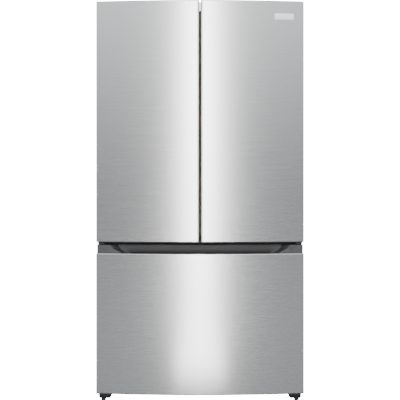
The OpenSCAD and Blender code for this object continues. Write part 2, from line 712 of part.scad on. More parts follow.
module left_door_skin() door_skin();
module left_door_liner() door_liner();
module left_door_insulation() door_insulation();
module left_door_caps() door_caps();
module left_door_gasket() door_gasket();
module left_door_bins() door_bins();
module right_door_skin() mirror([1, 0, 0]) door_skin();
module right_door_liner() color(white) mirror([1, 0, 0]) difference() {
  union() {
    span(liner_x, [door_back - liner_t, door_back], skin_z);
    ring(ridge_x, [door_back - eps, ridge_back], ridge_z, ridge_w);
    for (i = [0:bin_count - 1], x = [bin_x[0] - 1, bin_x[1] - 5])
      span([x, x + 6], [door_back - eps, ridge_back - 4], [bin_level(i) - 10, bin_level(i) - 0.3]);
  }
  ridge_core();
  hinge_notch();
}
module right_door_insulation() mirror([1, 0, 0]) door_insulation();
module right_door_caps() mirror([1, 0, 0]) door_caps();
module right_door_gasket() mirror([1, 0, 0]) door_gasket();
module right_door_bins() mirror([1, 0, 0]) door_bins();

badge_w = 84;
badge_h = 27;
badge_x = half_w - 87.5;
badge_z = door_top - 69;

// Thin blank plate laid on the crown of the right door
module badge_plate() color("white") intersection() {
  translate([badge_x, front_y + 30, badge_z]) rotate([90, 0, 0])
    linear_extrude(60) polygon(soft_points(badge_w, badge_h, 3));
  crowned_strip([0, half_w], -1.5, 0, [badge_z - badge_h, badge_z + badge_h]);
}

module mullion_bar() color(dark) {
  difference() {
    span([fold_x - 3.3, fold_x - 3.3 + bar_t], [fold_y + 8, fold_y + 8 + bar_w], bar_z);
    span([fold_x - 1.3, fold_x - 5.3 + bar_t], [fold_y + 10, fold_y + 6 + bar_w], [bar_z[0] + 2, bar_z[1] - 2]);
  }
  span([fold_x - 3.3, fold_x + 2], [fold_y, fold_y + 8 + eps], bar_z);
  translate([fold_x, fold_y, bar_z[0]]) cylinder(r = 6, h = bar_z[1] - bar_z[0], $fn = 48);
  for (z = [bar_z[0] - 12, bar_z[1] - 1]) translate([fold_x, fold_y, z]) cylinder(r = 3, h = 13, $fn = 48);
}

/* Freezer drawer front */

drawer_x = [-half_w, half_w];
drawer_skin_z = [drawer_bottom + lip, drawer_top];

module drawer_skin() skin(drawer_x, drawer_skin_z);

// Outline of the finger scoop at one depth, a thin slice seen from the front
module scoop_slice(y) {
  k = (y - scoop_y) / scoop_d;
  top = scoop_top - k * scoop_in[0];
  low = scoop_low - k * scoop_in[1];
  translate([0, y + 0.5, 0]) rotate([90, 0, 0]) linear_extrude(1)
    polygon([[-top, cap_top + 1], [-low, drawer_top], [low, drawer_top], [top, cap_top + 1]]);
}

// Finger scoop: side walls that flare upward and forward
module scoop() intersection() {
  hull() {
    scoop_slice(front_y - 10);
    scoop_slice(front_y + scoop_d + 60);
  }
  crowned_strip([-scoop_top - 40, scoop_top + 40], -5, scoop_d, [drawer_top, cap_top + 1]);
}

module drawer_end_caps() color(dark) {
  difference() {
    union() {
      crowned([drawer_x[0], drawer_x[1]], 4, [drawer_top, cap_top]);
      crowned(drawer_x, sheet, [drawer_top - 28, drawer_top + eps], door_back - liner_t);
    }
    scoop();
    crowned_strip([-scoop_low + scoop_in[1] + 4, scoop_low - scoop_in[1] - 4], 3, scoop_d + 8, [drawer_top - 22, drawer_top + undercut]);
  }
  crowned(drawer_x, 0, [drawer_bottom, drawer_bottom + lip]);
  crowned(drawer_x, sheet, [drawer_bottom + lip - eps, drawer_bottom + 14], door_back - liner_t);
}

fridge_ridge_x = freezer_half - 6;

module drawer_ridge_core() difference() {
  span([-fridge_ridge_x + liner_t, fridge_ridge_x - liner_t], [door_back - liner_t - eps, door_back + 22 - liner_t],
    [freezer_z[0] + 8 + liner_t, drawer_top - 30 - liner_t]);
  span([-fridge_ridge_x + 20 - liner_t, fridge_ridge_x - 20 + liner_t], [door_back - 5, door_back + 30],
    [freezer_z[0] + 28 - liner_t, drawer_top - 50 + liner_t]);
}

module drawer_liner() color(white) difference() {
  union() {
    span([drawer_x[0] + sheet, drawer_x[1] - sheet], [door_back - liner_t, door_back],
      [drawer_bottom + lip, drawer_top]);
    ring([-fridge_ridge_x, fridge_ridge_x], [door_back - eps, door_back + 22],
      [freezer_z[0] + 8, drawer_top - 30], 20);
  }
  drawer_ridge_core();
}

module drawer_insulation() color(foam) {
  crowned(drawer_x, sheet, [drawer_bottom + 14, drawer_top - 28], door_back - liner_t);
  drawer_ridge_core();
}

module drawer_gasket() color("white")
  ring([pin_x + 1, -pin_x - 1], [door_back, case_front], [freezer_z[0] - 22, drawer_top - 2], 14);

outer_case();
back_panel();
base_frame();
case_insulation();
fresh_food_liner();
freezer_liner();
center_rail();
hinge_plates();
hinge_covers();
case_screws();
leg_brackets();
roller_brackets();
control_housing();
light_lens();
shelf_tracks();
shelf_frames();
shelf_glass();
crisper_cover();
air_duct_cover();
evaporator_cover();
evaporator_coil();
compressor();
condenser_coil();
rear_cover();
slide_rails();
fan_motors();
left_door_skin();
left_door_liner();
left_door_insulation();
left_door_caps();
left_door_gasket();
left_door_bins();
right_door_skin();
right_door_liner();
right_door_insulation();
right_door_caps();
right_door_gasket();
right_door_bins();
badge_plate();
mullion_bar();
drawer_skin();
drawer_end_caps();
drawer_liner();
drawer_insulation();
drawer_gasket();
drawer_frame();
lower_basket();
upper_basket();
slide_middles();
left_crisper();
right_crisper();
condenser_fan();
evaporator_fan();
damper_flap();
left_roller();
right_roller();
left_foot();
right_foot();
light_button();
cooling_button();
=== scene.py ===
import json
import math
import bpy
import bmesh
from mathutils import Matrix, Vector


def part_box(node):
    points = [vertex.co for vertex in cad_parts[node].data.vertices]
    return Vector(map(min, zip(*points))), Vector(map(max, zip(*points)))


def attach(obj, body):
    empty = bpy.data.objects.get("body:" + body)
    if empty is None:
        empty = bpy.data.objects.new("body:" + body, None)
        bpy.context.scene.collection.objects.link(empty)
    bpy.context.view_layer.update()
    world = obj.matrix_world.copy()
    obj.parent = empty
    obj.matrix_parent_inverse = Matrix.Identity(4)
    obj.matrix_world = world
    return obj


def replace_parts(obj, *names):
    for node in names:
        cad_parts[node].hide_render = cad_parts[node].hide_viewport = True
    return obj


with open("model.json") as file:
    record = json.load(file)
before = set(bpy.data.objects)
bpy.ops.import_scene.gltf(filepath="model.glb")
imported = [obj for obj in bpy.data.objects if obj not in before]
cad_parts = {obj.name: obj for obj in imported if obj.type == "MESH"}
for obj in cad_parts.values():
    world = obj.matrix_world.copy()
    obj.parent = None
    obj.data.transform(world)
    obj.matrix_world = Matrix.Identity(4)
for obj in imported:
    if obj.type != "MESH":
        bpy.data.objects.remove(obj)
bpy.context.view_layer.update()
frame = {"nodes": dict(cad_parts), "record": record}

nodes = frame["nodes"]
bodyOf = {n: b for b, ns in frame["record"]["behaviour"]["bodies"].items() for n in ns}
slotOf = {s["node"]: s["material_slot"] for s in frame["record"]["subparts"]}
joints = {j["name"]: j for j in frame["record"]["behaviour"]["joints"]}


def low(node):
    return Vector(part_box(node)[0])


def high(node):
    return Vector(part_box(node)[1])


# camera and studio

camera = {"distance": 3.57, "height": 1.0, "lens": 74.5, "sensor": 36, "shiftY": -0.0512, "farthest": 60}
room = {"low": 0.05, "high": 2.9, "fadeFrom": -0.04, "fadeTo": 0.5, "tint": (0.96, 0.98, 1.0, 1),
    "backdrop": 24.0}
floor = {"half": 9, "drop": 0.0006, "tone": 0.12, "rough": 0.9, "glow": 20.0}
panels = {
    "frontPanel": {"size": (0.5, 3.3), "power": 92, "place": (0, -4.7, 1.7), "aim": (0, 0, 1.7)},
    "floorPanel": {"size": (0.34, 2.9), "power": 27, "place": (0, -2.45, 0.003), "aim": (0, -2.45, 1)},
    "leftPanel": {"size": (1.2, 2.4), "power": 10, "place": (-3.4, 1.0, 1.5), "aim": (0, 0, 1.0)},
    "rightPanel": {"size": (1.2, 2.4), "power": 10, "place": (3.4, 1.0, 1.5), "aim": (0, 0, 1.0)},
    "topPanel": {"size": (2.5, 2.5), "power": 16, "place": (0, 0.6, 3.8), "aim": (0, 0.3, 0)},
    "backPanel": {"size": (2.2, 2.0), "power": 14, "place": (0, 3.6, 2.0), "aim": (0, 0, 0.9)},
}


def makeCamera():
    data = bpy.data.cameras.new("frontCamera")
    data.lens = camera["lens"]
    data.sensor_width = camera["sensor"]
    data.shift_y = camera["shiftY"]
    data.clip_end = camera["farthest"]
    ob = bpy.data.objects.new("frontCamera", data)
    ob.location = (0, low("drawer_skin").y - camera["distance"], camera["height"])
    ob.rotation_euler = (math.radians(90), 0, 0)
    bpy.context.collection.objects.link(ob)
    bpy.context.scene.camera = ob


def areaLight(name, size, power, place, aim):
    data = bpy.data.lights.new(name, "AREA")
    data.shape = "RECTANGLE"
    data.size, data.size_y = size
    data.energy = power
    ob = bpy.data.objects.new(name, data)
    ob.location = place
    ob.rotation_euler = (Vector(aim) - Vector(place)).to_track_quat("-Z", "Y").to_euler()
    bpy.context.collection.objects.link(ob)
    return ob


def makeRoom():
    # soft room, brighter overhead, with a white backdrop where the camera looks past the object
    world = bpy.data.worlds.new("studioRoom")
    bpy.context.scene.world = world
    world.use_nodes = True
    tree = world.node_tree
    tree.nodes.clear()
    out = tree.nodes.new("ShaderNodeOutputWorld")
    mix = tree.nodes.new("ShaderNodeMixShader")
    path = tree.nodes.new("ShaderNodeLightPath")
    coords = tree.nodes.new("ShaderNodeTexCoord")
    split = tree.nodes.new("ShaderNodeSeparateXYZ")
    ramp = tree.nodes.new("ShaderNodeMapRange")
    limits = {"From Min": "fadeFrom", "From Max": "fadeTo", "To Min": "low", "To Max": "high"}
    for label, key in limits.items():
        ramp.inputs[label].default_value = room[key]
    ramp.interpolation_type = "SMOOTHSTEP"
    tree.links.new(coords.outputs["Generated"], split.inputs[0])
    tree.links.new(split.outputs["Z"], ramp.inputs["Value"])
    walls = tree.nodes.new("ShaderNodeBackground")
    walls.inputs["Color"].default_value = room["tint"]
    tree.links.new(ramp.outputs[0], walls.inputs["Strength"])
    seen = tree.nodes.new("ShaderNodeBackground")
    seen.inputs["Color"].default_value = (1, 1, 1, 1)
    seen.inputs["Strength"].default_value = room["backdrop"]
    tree.links.new(path.outputs["Is Camera Ray"], mix.inputs[0])
    tree.links.new(walls.outputs[0], mix.inputs[1])
    tree.links.new(seen.outputs[0], mix.inputs[2])
    tree.links.new(mix.outputs[0], out.inputs[0])


def makeFloor():
    mesh = bpy.data.meshes.new("studioFloor")
    r, z = floor["half"], -floor["drop"]
    mesh.from_pydata([(-r, -r, z), (r, -r, z), (r, r, z), (-r, r, z)], [], [(0, 1, 2, 3)])
    ob = bpy.data.objects.new("studioFloor", mesh)
    bpy.context.collection.objects.link(ob)
    mesh.materials.append(floorFinish())


def floorFinish():
    # pale sweep: bright to the eye like the backdrop, with a share of true shading for contact shadows
    mat = bpy.data.materials.new("paleFloor")
    mat.use_nodes = True
    tree = mat.node_tree
    bsdf = tree.nodes["Principled BSDF"]
    bsdf.inputs["Base Color"].default_value = (floor["tone"],) * 3 + (1,)
    bsdf.inputs["Roughness"].default_value = floor["rough"]
    glow = tree.nodes.new("ShaderNodeEmission")
    glow.inputs["Strength"].default_value = floor["glow"]
    add = tree.nodes.new("ShaderNodeAddShader")
    mix = tree.nodes.new("ShaderNodeMixShader")
    path = tree.nodes.new("ShaderNodeLightPath")
    tree.links.new(bsdf.outputs[0], add.inputs[0])
    tree.links.new(glow.outputs[0], add.inputs[1])
    tree.links.new(path.outputs["Is Camera Ray"], mix.inputs[0])
    tree.links.new(bsdf.outputs[0], mix.inputs[1])
    tree.links.new(add.outputs[0], mix.inputs[2])
    tree.links.new(mix.outputs[0], tree.nodes["Material Output"].inputs[0])
    return mat


makeCamera()
makeRoom()
for name, panel in panels.items():
    # the strip on the floor lights the fronts but isn't seen
    light = areaLight(name, **panel)
    light.visible_camera = name != "floorPanel"
makeFloor()
print("studio ready")


# shared shader effects

def newGroup(name, inputs, outputs):
    group = bpy.data.node_groups.new(name, "ShaderNodeTree")
    for label, kind, value in inputs:
        sock = group.interface.new_socket(name=label, in_out="INPUT", socket_type=kind)
        sock.default_value = value
    for label, kind in outputs:
        group.interface.new_socket(name=label, in_out="OUTPUT", socket_type=kind)
    return group, group.nodes.new("NodeGroupInput"), group.nodes.new("NodeGroupOutput")


def maths(tree, kind, a, b, clamp=False):
    node = tree.nodes.new("ShaderNodeMath")
    node.operation = kind
    node.use_clamp = clamp
    for i, value in enumerate((a, b)):
        if isinstance(value, (int, float)):
            node.inputs[i].default_value = value
        else:
            tree.links.new(value, node.inputs[i])
    return node.outputs[0]


def objectCoords(tree):
    return tree.nodes.new("ShaderNodeTexCoord").outputs["Object"]


def makeBrushedGrain():
    # fine scratches drawn out along X, with a slow cloudiness under them
    group, gin, gout = newGroup("brushedGrain",
        [("Along", "NodeSocketFloat", 8.0), ("Across", "NodeSocketFloat", 1400.0),
            ("Cloud", "NodeSocketFloat", 3.0)],
        [("Grain", "NodeSocketFloat"), ("Cloudiness", "NodeSocketFloat")])
    scale = group.nodes.new("ShaderNodeCombineXYZ")
    for name, sock in (("X", "Along"), ("Y", "Along"), ("Z", "Across")):
        group.links.new(gin.outputs[sock], scale.inputs[name])
    stretch = group.nodes.new("ShaderNodeVectorMath")
    stretch.operation = "MULTIPLY"
    group.links.new(objectCoords(group), stretch.inputs[0])
    group.links.new(scale.outputs[0], stretch.inputs[1])
    noise = group.nodes.new("ShaderNodeTexNoise")
    noise.inputs["Scale"].default_value = 1.0
    noise.inputs["Detail"].default_value = 5.0
    noise.inputs["Roughness"].default_value = 0.65
    group.links.new(stretch.outputs[0], noise.inputs["Vector"])
    cloud = group.nodes.new("ShaderNodeTexNoise")
    cloud.inputs["Detail"].default_value = 2.0
    group.links.new(objectCoords(group), cloud.inputs["Vector"])
    group.links.new(gin.outputs["Cloud"], cloud.inputs["Scale"])
    group.links.new(noise.outputs["Fac"], gout.inputs["Grain"])
    group.links.new(cloud.outputs["Fac"], gout.inputs["Cloudiness"])
    return group


def makeMouldedGrain():
    # pebbled surface of moulded plastic and of powder paint
    group, gin, gout = newGroup("mouldedGrain",
        [("Size", "NodeSocketFloat", 900.0), ("Blotch", "NodeSocketFloat", 14.0)],
        [("Height", "NodeSocketFloat"), ("Blotches", "NodeSocketFloat")])
    cells = group.nodes.new("ShaderNodeTexVoronoi")
    cells.feature = "SMOOTH_F1"
    group.links.new(objectCoords(group), cells.inputs["Vector"])
    group.links.new(gin.outputs["Size"], cells.inputs["Scale"])
    fine = group.nodes.new("ShaderNodeTexNoise")
    fine.inputs["Detail"].default_value = 3.0
    group.links.new(objectCoords(group), fine.inputs["Vector"])
    group.links.new(maths(group, "MULTIPLY", gin.outputs["Size"], 0.6), fine.inputs["Scale"])
    blotch = group.nodes.new("ShaderNodeTexNoise")
    blotch.inputs["Detail"].default_value = 4.0
    group.links.new(objectCoords(group), blotch.inputs["Vector"])
    group.links.new(gin.outputs["Blotch"], blotch.inputs["Scale"])
    total = maths(group, "ADD", cells.outputs["Distance"], fine.outputs["Fac"])
    group.links.new(maths(group, "MULTIPLY", total, 0.5), gout.inputs["Height"])
    group.links.new(blotch.outputs["Fac"], gout.inputs["Blotches"])
    return group


def makeDustVeil():
    # light dust on faces that look up
    group, gin, gout = newGroup("dustVeil",
        [("Amount", "NodeSocketFloat", 0.2), ("Size", "NodeSocketFloat", 30.0)],
        [("Mask", "NodeSocketFloat")])
    geo = group.nodes.new("ShaderNodeNewGeometry")
    split = group.nodes.new("ShaderNodeSeparateXYZ")
    group.links.new(geo.outputs["Normal"], split.inputs[0])
    up = maths(group, "SUBTRACT", split.outputs["Z"], 0.6, clamp=True)
    noise = group.nodes.new("ShaderNodeTexNoise")
    noise.inputs["Detail"].default_value = 6.0
    group.links.new(objectCoords(group), noise.inputs["Vector"])
    group.links.new(gin.outputs["Size"], noise.inputs["Scale"])
    spots = maths(group, "MULTIPLY", up, noise.outputs["Fac"])
    strength = maths(group, "MULTIPLY", gin.outputs["Amount"], 4.0)
    group.links.new(maths(group, "MULTIPLY", spots, strength, clamp=True), gout.inputs["Mask"])
    return group


def makeEdgeWear():
    # rubbed edges, found where a rounded normal leaves the true one
    group, gin, gout = newGroup("edgeWear",
        [("Radius", "NodeSocketFloat", 0.0015), ("Amount", "NodeSocketFloat", 0.5)],
        [("Mask", "NodeSocketFloat")])
    bevel = group.nodes.new("ShaderNodeBevel")
    bevel.samples = 4
    group.links.new(gin.outputs["Radius"], bevel.inputs["Radius"])
    geo = group.nodes.new("ShaderNodeNewGeometry")
    dot = group.nodes.new("ShaderNodeVectorMath")
    dot.operation = "DOT_PRODUCT"
    group.links.new(bevel.outputs[0], dot.inputs[0])
    group.links.new(geo.outputs["Normal"], dot.inputs[1])
    turned = maths(group, "SUBTRACT", 1.0, dot.outputs["Value"], clamp=True)
    noise = group.nodes.new("ShaderNodeTexNoise")
    noise.inputs["Scale"].default_value = 60.0
    noise.inputs["Detail"].default_value = 5.0
    group.links.new(objectCoords(group), noise.inputs["Vector"])
    rough = maths(group, "MULTIPLY", turned, maths(group, "MULTIPLY", noise.outputs["Fac"], 6.0))
    group.links.new(maths(group, "MULTIPLY", rough, gin.outputs["Amount"], clamp=True), gout.inputs["Mask"])
    return group


effects = {
    "grain": makeBrushedGrain(),
    "mould": makeMouldedGrain(),
    "dust": makeDustVeil(),
    "wear": makeEdgeWear(),
}


class Finish:
    # one material and the few links that all of them need
    def __init__(self, name, colour, rough, metal=0.0, **sockets):
        self.mat = bpy.data.materials.new(name)
        self.mat.use_nodes = True
        self.tree = self.mat.node_tree
        self.bsdf = self.tree.nodes["Principled BSDF"]
        self.colour = colour
        self.bsdf.inputs["Base Color"].default_value = (*colour, 1)
        self.bsdf.inputs["Roughness"].default_value = rough
        self.bsdf.inputs["Metallic"].default_value = metal
        for label, value in sockets.items():
            self.bsdf.inputs[label.replace("_", " ")].default_value = value

    def effect(self, kind, **values):
        node = self.tree.nodes.new("ShaderNodeGroup")
        node.node_tree = effects[kind]
        for label, value in values.items():
            node.inputs[label].default_value = value
        return node.outputs

    def spread(self, value, low, high):
        node = self.tree.nodes.new("ShaderNodeMapRange")
        node.inputs["From Min"].default_value = 0.3
        node.inputs["From Max"].default_value = 0.7
        node.inputs["To Min"].default_value = low
        node.inputs["To Max"].default_value = high
        self.tree.links.new(value, node.inputs["Value"])
        return node.outputs[0]

    def tint(self, factor, a, b):
        node = self.tree.nodes.new("ShaderNodeMix")
        node.data_type = "RGBA"
        self.tree.links.new(factor, node.inputs["Factor"])
        for sock, value in ((node.inputs[6], a), (node.inputs[7], b)):
            if isinstance(value, tuple):
                sock.default_value = (*value, 1)
            else:
                self.tree.links.new(value, sock)
        return node.outputs[2]

    def link(self, value, label):
        self.tree.links.new(value, self.bsdf.inputs[label])

    def bump(self, height, strength, distance):
        node = self.tree.nodes.new("ShaderNodeBump")
        node.inputs["Strength"].default_value = strength
        node.inputs["Distance"].default_value = distance
        self.tree.links.new(height, node.inputs["Height"])
        self.tree.links.new(node.outputs[0], self.bsdf.inputs["Normal"])


def shade(colour, k):
    return tuple(min(1.0, c * k) for c in colour)


steelLook = {"colour": (0.62, 0.62, 0.622), "rough": 0.26, "pull": 0.55, "grain": 0.003, "along": 5.0,
    "across": 1700.0}


def brushedSteel(name, colour, rough):
    f = Finish(name, colour, rough, 1.0, Anisotropic=steelLook["pull"], Anisotropic_Rotation=0.25)
    along = f.tree.nodes.new("ShaderNodeTangent")
    along.direction_type = "RADIAL"
    along.axis = "Z"
    f.link(along.outputs[0], "Tangent")
    g = f.effect("grain", Along=steelLook["along"], Across=steelLook["across"], Cloud=2.2)
    f.link(f.spread(g["Grain"], rough - 0.025, rough + 0.025), "Roughness")
    toned = f.tint(g["Grain"], shade(colour, 0.98), shade(colour, 1.02))
    f.link(f.tint(f.spread(g["Cloudiness"], 0, 0.05), toned, shade(colour, 0.9)), "Base Color")
    f.bump(g["Grain"], steelLook["grain"], 0.0004)
    return f.mat


def paint(name, colour, rough, size=700.0, bumpy=0.12, wear=(0.4, 0.4, 0.4), dust=0.15):
    f = Finish(name, colour, rough)
    m = f.effect("mould", Size=size, Blotch=9.0)
    base = f.tint(f.spread(m["Blotches"], 0, 1), shade(colour, 0.93), shade(colour, 1.07))
    worn = f.tint(f.effect("wear", Radius=0.001, Amount=0.35)["Mask"], base, wear)
    f.link(f.tint(f.effect("dust", Amount=dust, Size=24.0)["Mask"], worn, (0.45, 0.44, 0.42)), "Base Color")
    f.link(f.spread(m["Blotches"], rough - 0.06, rough + 0.06), "Roughness")
    f.bump(m["Height"], bumpy, 0.0006)
    return f.mat


def plastic(name, colour, rough, size=1100.0, bumpy=0.08, **sockets):
    f = Finish(name, colour, rough, **sockets)
    m = f.effect("mould", Size=size, Blotch=6.0)
    base = f.tint(f.spread(m["Blotches"], 0, 1), shade(colour, 0.96), shade(colour, 1.04))
    worn = f.tint(f.effect("wear", Radius=0.0012, Amount=0.2)["Mask"], base, shade(colour, 1.35))
    f.link(worn, "Base Color")
    f.link(f.spread(m["Blotches"], rough - 0.05, rough + 0.05), "Roughness")
    f.bump(m["Height"], bumpy, 0.0004)
    return f.mat


def zinc(name, colour, rough):
    f = Finish(name, colour, rough, 1.0)
    m = f.effect("mould", Size=60.0, Blotch=22.0)
    f.link(f.tint(f.spread(m["Blotches"], 0, 1), shade(colour, 0.8), shade(colour, 1.12)), "Base Color")
    f.link(f.spread(m["Height"], rough - 0.08, rough + 0.12), "Roughness")
    f.bump(m["Height"], 0.05, 0.0005)
    return f.mat


def clearMoulding(name, colour, rough, alpha):
    f = Finish(name, colour, rough, Alpha=alpha, Coat_Weight=0.3)
    m = f.effect("mould", Size=300.0, Blotch=5.0)
    f.link(f.tint(f.spread(m["Blotches"], 0, 1), shade(colour, 0.95), shade(colour, 1.05)), "Base Color")
    f.link(f.spread(m["Blotches"], rough - 0.03, rough + 0.05), "Roughness")
    f.bump(m["Height"], 0.03, 0.0003)
    return f.mat


def cutFoam(name, colour):
    f = Finish(name, colour, 0.9)
    m = f.effect("mould", Size=420.0, Blotch=18.0)
    f.link(f.tint(f.spread(m["Blotches"], 0, 1), shade(colour, 0.85), shade(colour, 1.1)), "Base Color")
    f.link(f.spread(m["Height"], 0.8, 0.95), "Roughness")
    f.bump(m["Height"], 0.5, 0.001)
    return f.mat


finishes = {
    "door_steel": brushedSteel("satinSteel", steelLook["colour"], steelLook["rough"]),
    "case_paint": paint("casePaint", (0.105, 0.105, 0.108), 0.48, wear=(0.3, 0.3, 0.3)),
    "grey_plastic": plastic("gripPlastic", (0.03, 0.03, 0.031), 0.55),
    "black_metal": paint("blackPaint", (0.012, 0.012, 0.013), 0.45, wear=(0.12, 0.12, 0.12)),
    "black_plastic": plastic("blackPlastic", (0.014, 0.014, 0.015), 0.55),
    "hinge_metal": paint("hingePaint", (0.05, 0.05, 0.052), 0.4, wear=(0.3, 0.3, 0.31)),
    "zinc_steel": zinc("zincSteel", (0.56, 0.57, 0.6), 0.38),
    "liner_white": plastic("linerWhite", (0.82, 0.83, 0.84), 0.32, size=700.0, bumpy=0.04, Coat_Weight=0.15),
    "white_plastic": plastic("mouldedWhite", (0.78, 0.79, 0.80), 0.36, bumpy=0.05),
    "badge_white": plastic("badgeWhite", (0.95, 0.95, 0.94), 0.3, bumpy=0.02, Coat_Weight=0.5),
    "foam": cutFoam("cutFoam", (0.72, 0.62, 0.4)),
    "gasket": plastic("gasketGrey", (0.22, 0.22, 0.225), 0.7, size=500.0),
    "clear_plastic": clearMoulding("clearMoulding", (0.82, 0.9, 0.94), 0.12, 0.42),
    "pane": clearMoulding("shelfPane", (0.78, 0.9, 0.87), 0.05, 0.3),
    "lens": clearMoulding("frostedLens", (0.95, 0.95, 0.92), 0.5, 0.85),
    "coil": zinc("bareAluminium", (0.74, 0.75, 0.76), 0.33),
}

for node, ob in nodes.items():
    ob.data.materials.clear()
    ob.data.materials.append(finishes[slotOf[node]])
print("finishes ready")


# mesh helpers

def linkPiece(name, mesh, node):
    ob = bpy.data.objects.new(name, mesh)
    bpy.context.collection.objects.link(ob)
    if not mesh.materials:
        mesh.materials.append(finishes[slotOf[node]])
    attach(ob, bodyOf[node])
    return ob


def markSharp(bm, angle):
    # smooth faces, with sharp edges where they turn by more than the angle or where the mesh ends
    limit = math.radians(angle)
    for f in bm.faces:
        f.smooth = True
    for e in bm.edges:
        e.smooth = e.calc_face_angle(math.pi) < limit


def closedMesh(name, bm, angle):
    # mesh with outward normals and sharp edges marked
    bmesh.ops.recalc_face_normals(bm, faces=bm.faces)
    markSharp(bm, angle)
    mesh = bpy.data.meshes.new(name)
    bm.to_mesh(mesh)
    bm.free()
    return mesh


def fromBmesh(name, bm, node, material=None, angle=40):
    mesh = closedMesh(name, bm, angle)
    mesh.materials.append(material or finishes[slotOf[node]])
    return linkPiece(name, mesh, node)


def joinRings(bm, rings):
    # faces between each ring of vertices and the next
    n = len(rings[0])
    for one, two in zip(rings, rings[1:]):
        for i in range(n):
            bm.faces.new((one[i], one[(i + 1) % n], two[(i + 1) % n], two[i]))


def baked(ob):
    # the evaluated mesh replaces the live modifiers
    graph = bpy.context.evaluated_depsgraph_get()
    mesh = bpy.data.meshes.new_from_object(ob.evaluated_get(graph))
    ob.modifiers.clear()
    ob.data = mesh


ease = {"weld": 2e-6, "flat": 0.05, "angle": 32, "segments": 2, "sharp": 24, "misfill": 0.002}


def badlyFilled(mesh):
    # a many-sided face whose triangles cover more or less than the face itself
    mesh.calc_loop_triangles()
    area = {}
    for t in mesh.loop_triangles:
        area[t.polygon_index] = area.get(t.polygon_index, 0) + t.area
    many = [f for f in mesh.polygons if f.loop_total > 4]
    return any(abs(area[f.index] - f.area) > ease["misfill"] * f.area + 1e-9 for f in many)


def welded(node):
    bm = bmesh.new()
    bm.from_mesh(nodes[node].data)
    bmesh.ops.remove_doubles(bm, verts=bm.verts, dist=ease["weld"])
    return bm


def resharpened(ob, angle):
    bm = bmesh.new()
    bm.from_mesh(ob.data)
    markSharp(bm, angle)
    bm.to_mesh(ob.data)
    bm.free()


def softened(node, width, merge=True):
    # copy of a node with its edges eased; flat faces stay in triangles where merging them fills badly
    bm = welded(node)
    if merge:
        flat = math.radians(ease["flat"])
        bmesh.ops.dissolve_limit(bm, angle_limit=flat, verts=bm.verts, edges=bm.edges)
    mesh = nodes[node].data.copy()
    bm.to_mesh(mesh)
    bm.free()
    ob = bpy.data.objects.new(node + ".soft", mesh)
    bpy.context.collection.objects.link(ob)
    bevel = ob.modifiers.new("easedEdges", "BEVEL")
    bevel.width = width
    bevel.segments = ease["segments"]
    bevel.limit_method = "ANGLE"
    bevel.angle_limit = math.radians(ease["angle"])
    bevel.use_clamp_overlap = True
    bevel.miter_outer = "MITER_ARC"
    bpy.context.view_layer.update()
    baked(ob)
    if merge and badlyFilled(ob.data):
        bpy.data.objects.remove(ob)
        return softened(node, width, False)
    resharpened(ob, ease["sharp"])
    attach(ob, bodyOf[node])
    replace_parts(ob, node)
    return ob


# crowned steel fronts

front = {"crown": 0.030, "sheet": 0.001, "edgeRadius": 0.0045, "edgeSteps": 6, "leastRadius": 0.0004,
    "foldRadius": 0.0016, "foldEnd": 0.0006, "arcStep": 0.012, "sharp": 40}
halfWidth = high("drawer_skin").x
apexY = low("drawer_skin").y
crownRadius = (halfWidth ** 2 + front["crown"] ** 2) / (2 * front["crown"])
crownCentreY = apexY + crownRadius


def arc(cx, cy, r, start, end, steps):
    turns = [start + (end - start) * i / steps for i in range(steps + 1)]
    return [(cx + r * math.cos(a), cy + r * math.sin(a)) for a in turns]


def frontProfile(x0, x1, back, inset):
    # plan outline from the back of one side return to the back of the other
    r = max(front["edgeRadius"] - inset, front["leastRadius"])
    big = crownRadius - inset
    x0, x1 = x0 + inset, x1 - inset
    left, right = x0 + r, x1 - r
    leftY, rightY = (crownCentreY - math.sqrt((big - r) ** 2 - x * x) for x in (left, right))
    a0, a1 = math.atan2(leftY - crownCentreY, left), math.atan2(rightY - crownCentreY, right)
    count = max(4, int((x1 - x0) / front["arcStep"]))
    points = [(x0, back)]
    points += arc(left, leftY, r, -math.pi, a0, front["edgeSteps"])
    points += arc(0, crownCentreY, big, a0, a1, count)[1:-1]
    points += arc(right, rightY, r, a1, 0, front["edgeSteps"])
    points.append((x1, back))
    return points


def crownedSkin(node, name, x0, x1):
    # folded sheet: outer and inner outline joined at both rims, with the ends rolled slightly in
    lo, hi = low(node), high(node)
    fold = front["foldRadius"]
    roll = [(0, fold), (fold * 0.3, fold * 0.4), (fold, 0), (fold + front["foldEnd"], 0)]
    rolls = [(lo.z + dz, tuck) for dz, tuck in roll] + [(hi.z - dz, tuck) for dz, tuck in roll[::-1]]
    bm = bmesh.new()
    rings = []
    for z, tuck in rolls:
        outer = frontProfile(x0, x1, hi.y, tuck)
        inner = frontProfile(x0, x1, hi.y, front["sheet"] + fold)
        rings.append([bm.verts.new((x, y, z)) for x, y in outer + inner[::-1]])
    n = len(rings[0])
    joinRings(bm, rings)
    for ring in (rings[0], rings[-1]):
        for i in range(n // 2 - 1):
            bm.faces.new((ring[i], ring[i + 1], ring[n - 2 - i], ring[n - 1 - i]))
    return closedMesh(name, bm, front["sharp"])


notch = {"radius": 0.033, "depth": 0.004, "high": 0.08, "beyond": 0.002,
    "arm": {"front": -0.031, "back": 0.035}, "block": {"inward": 0.03, "back": 0.06}}


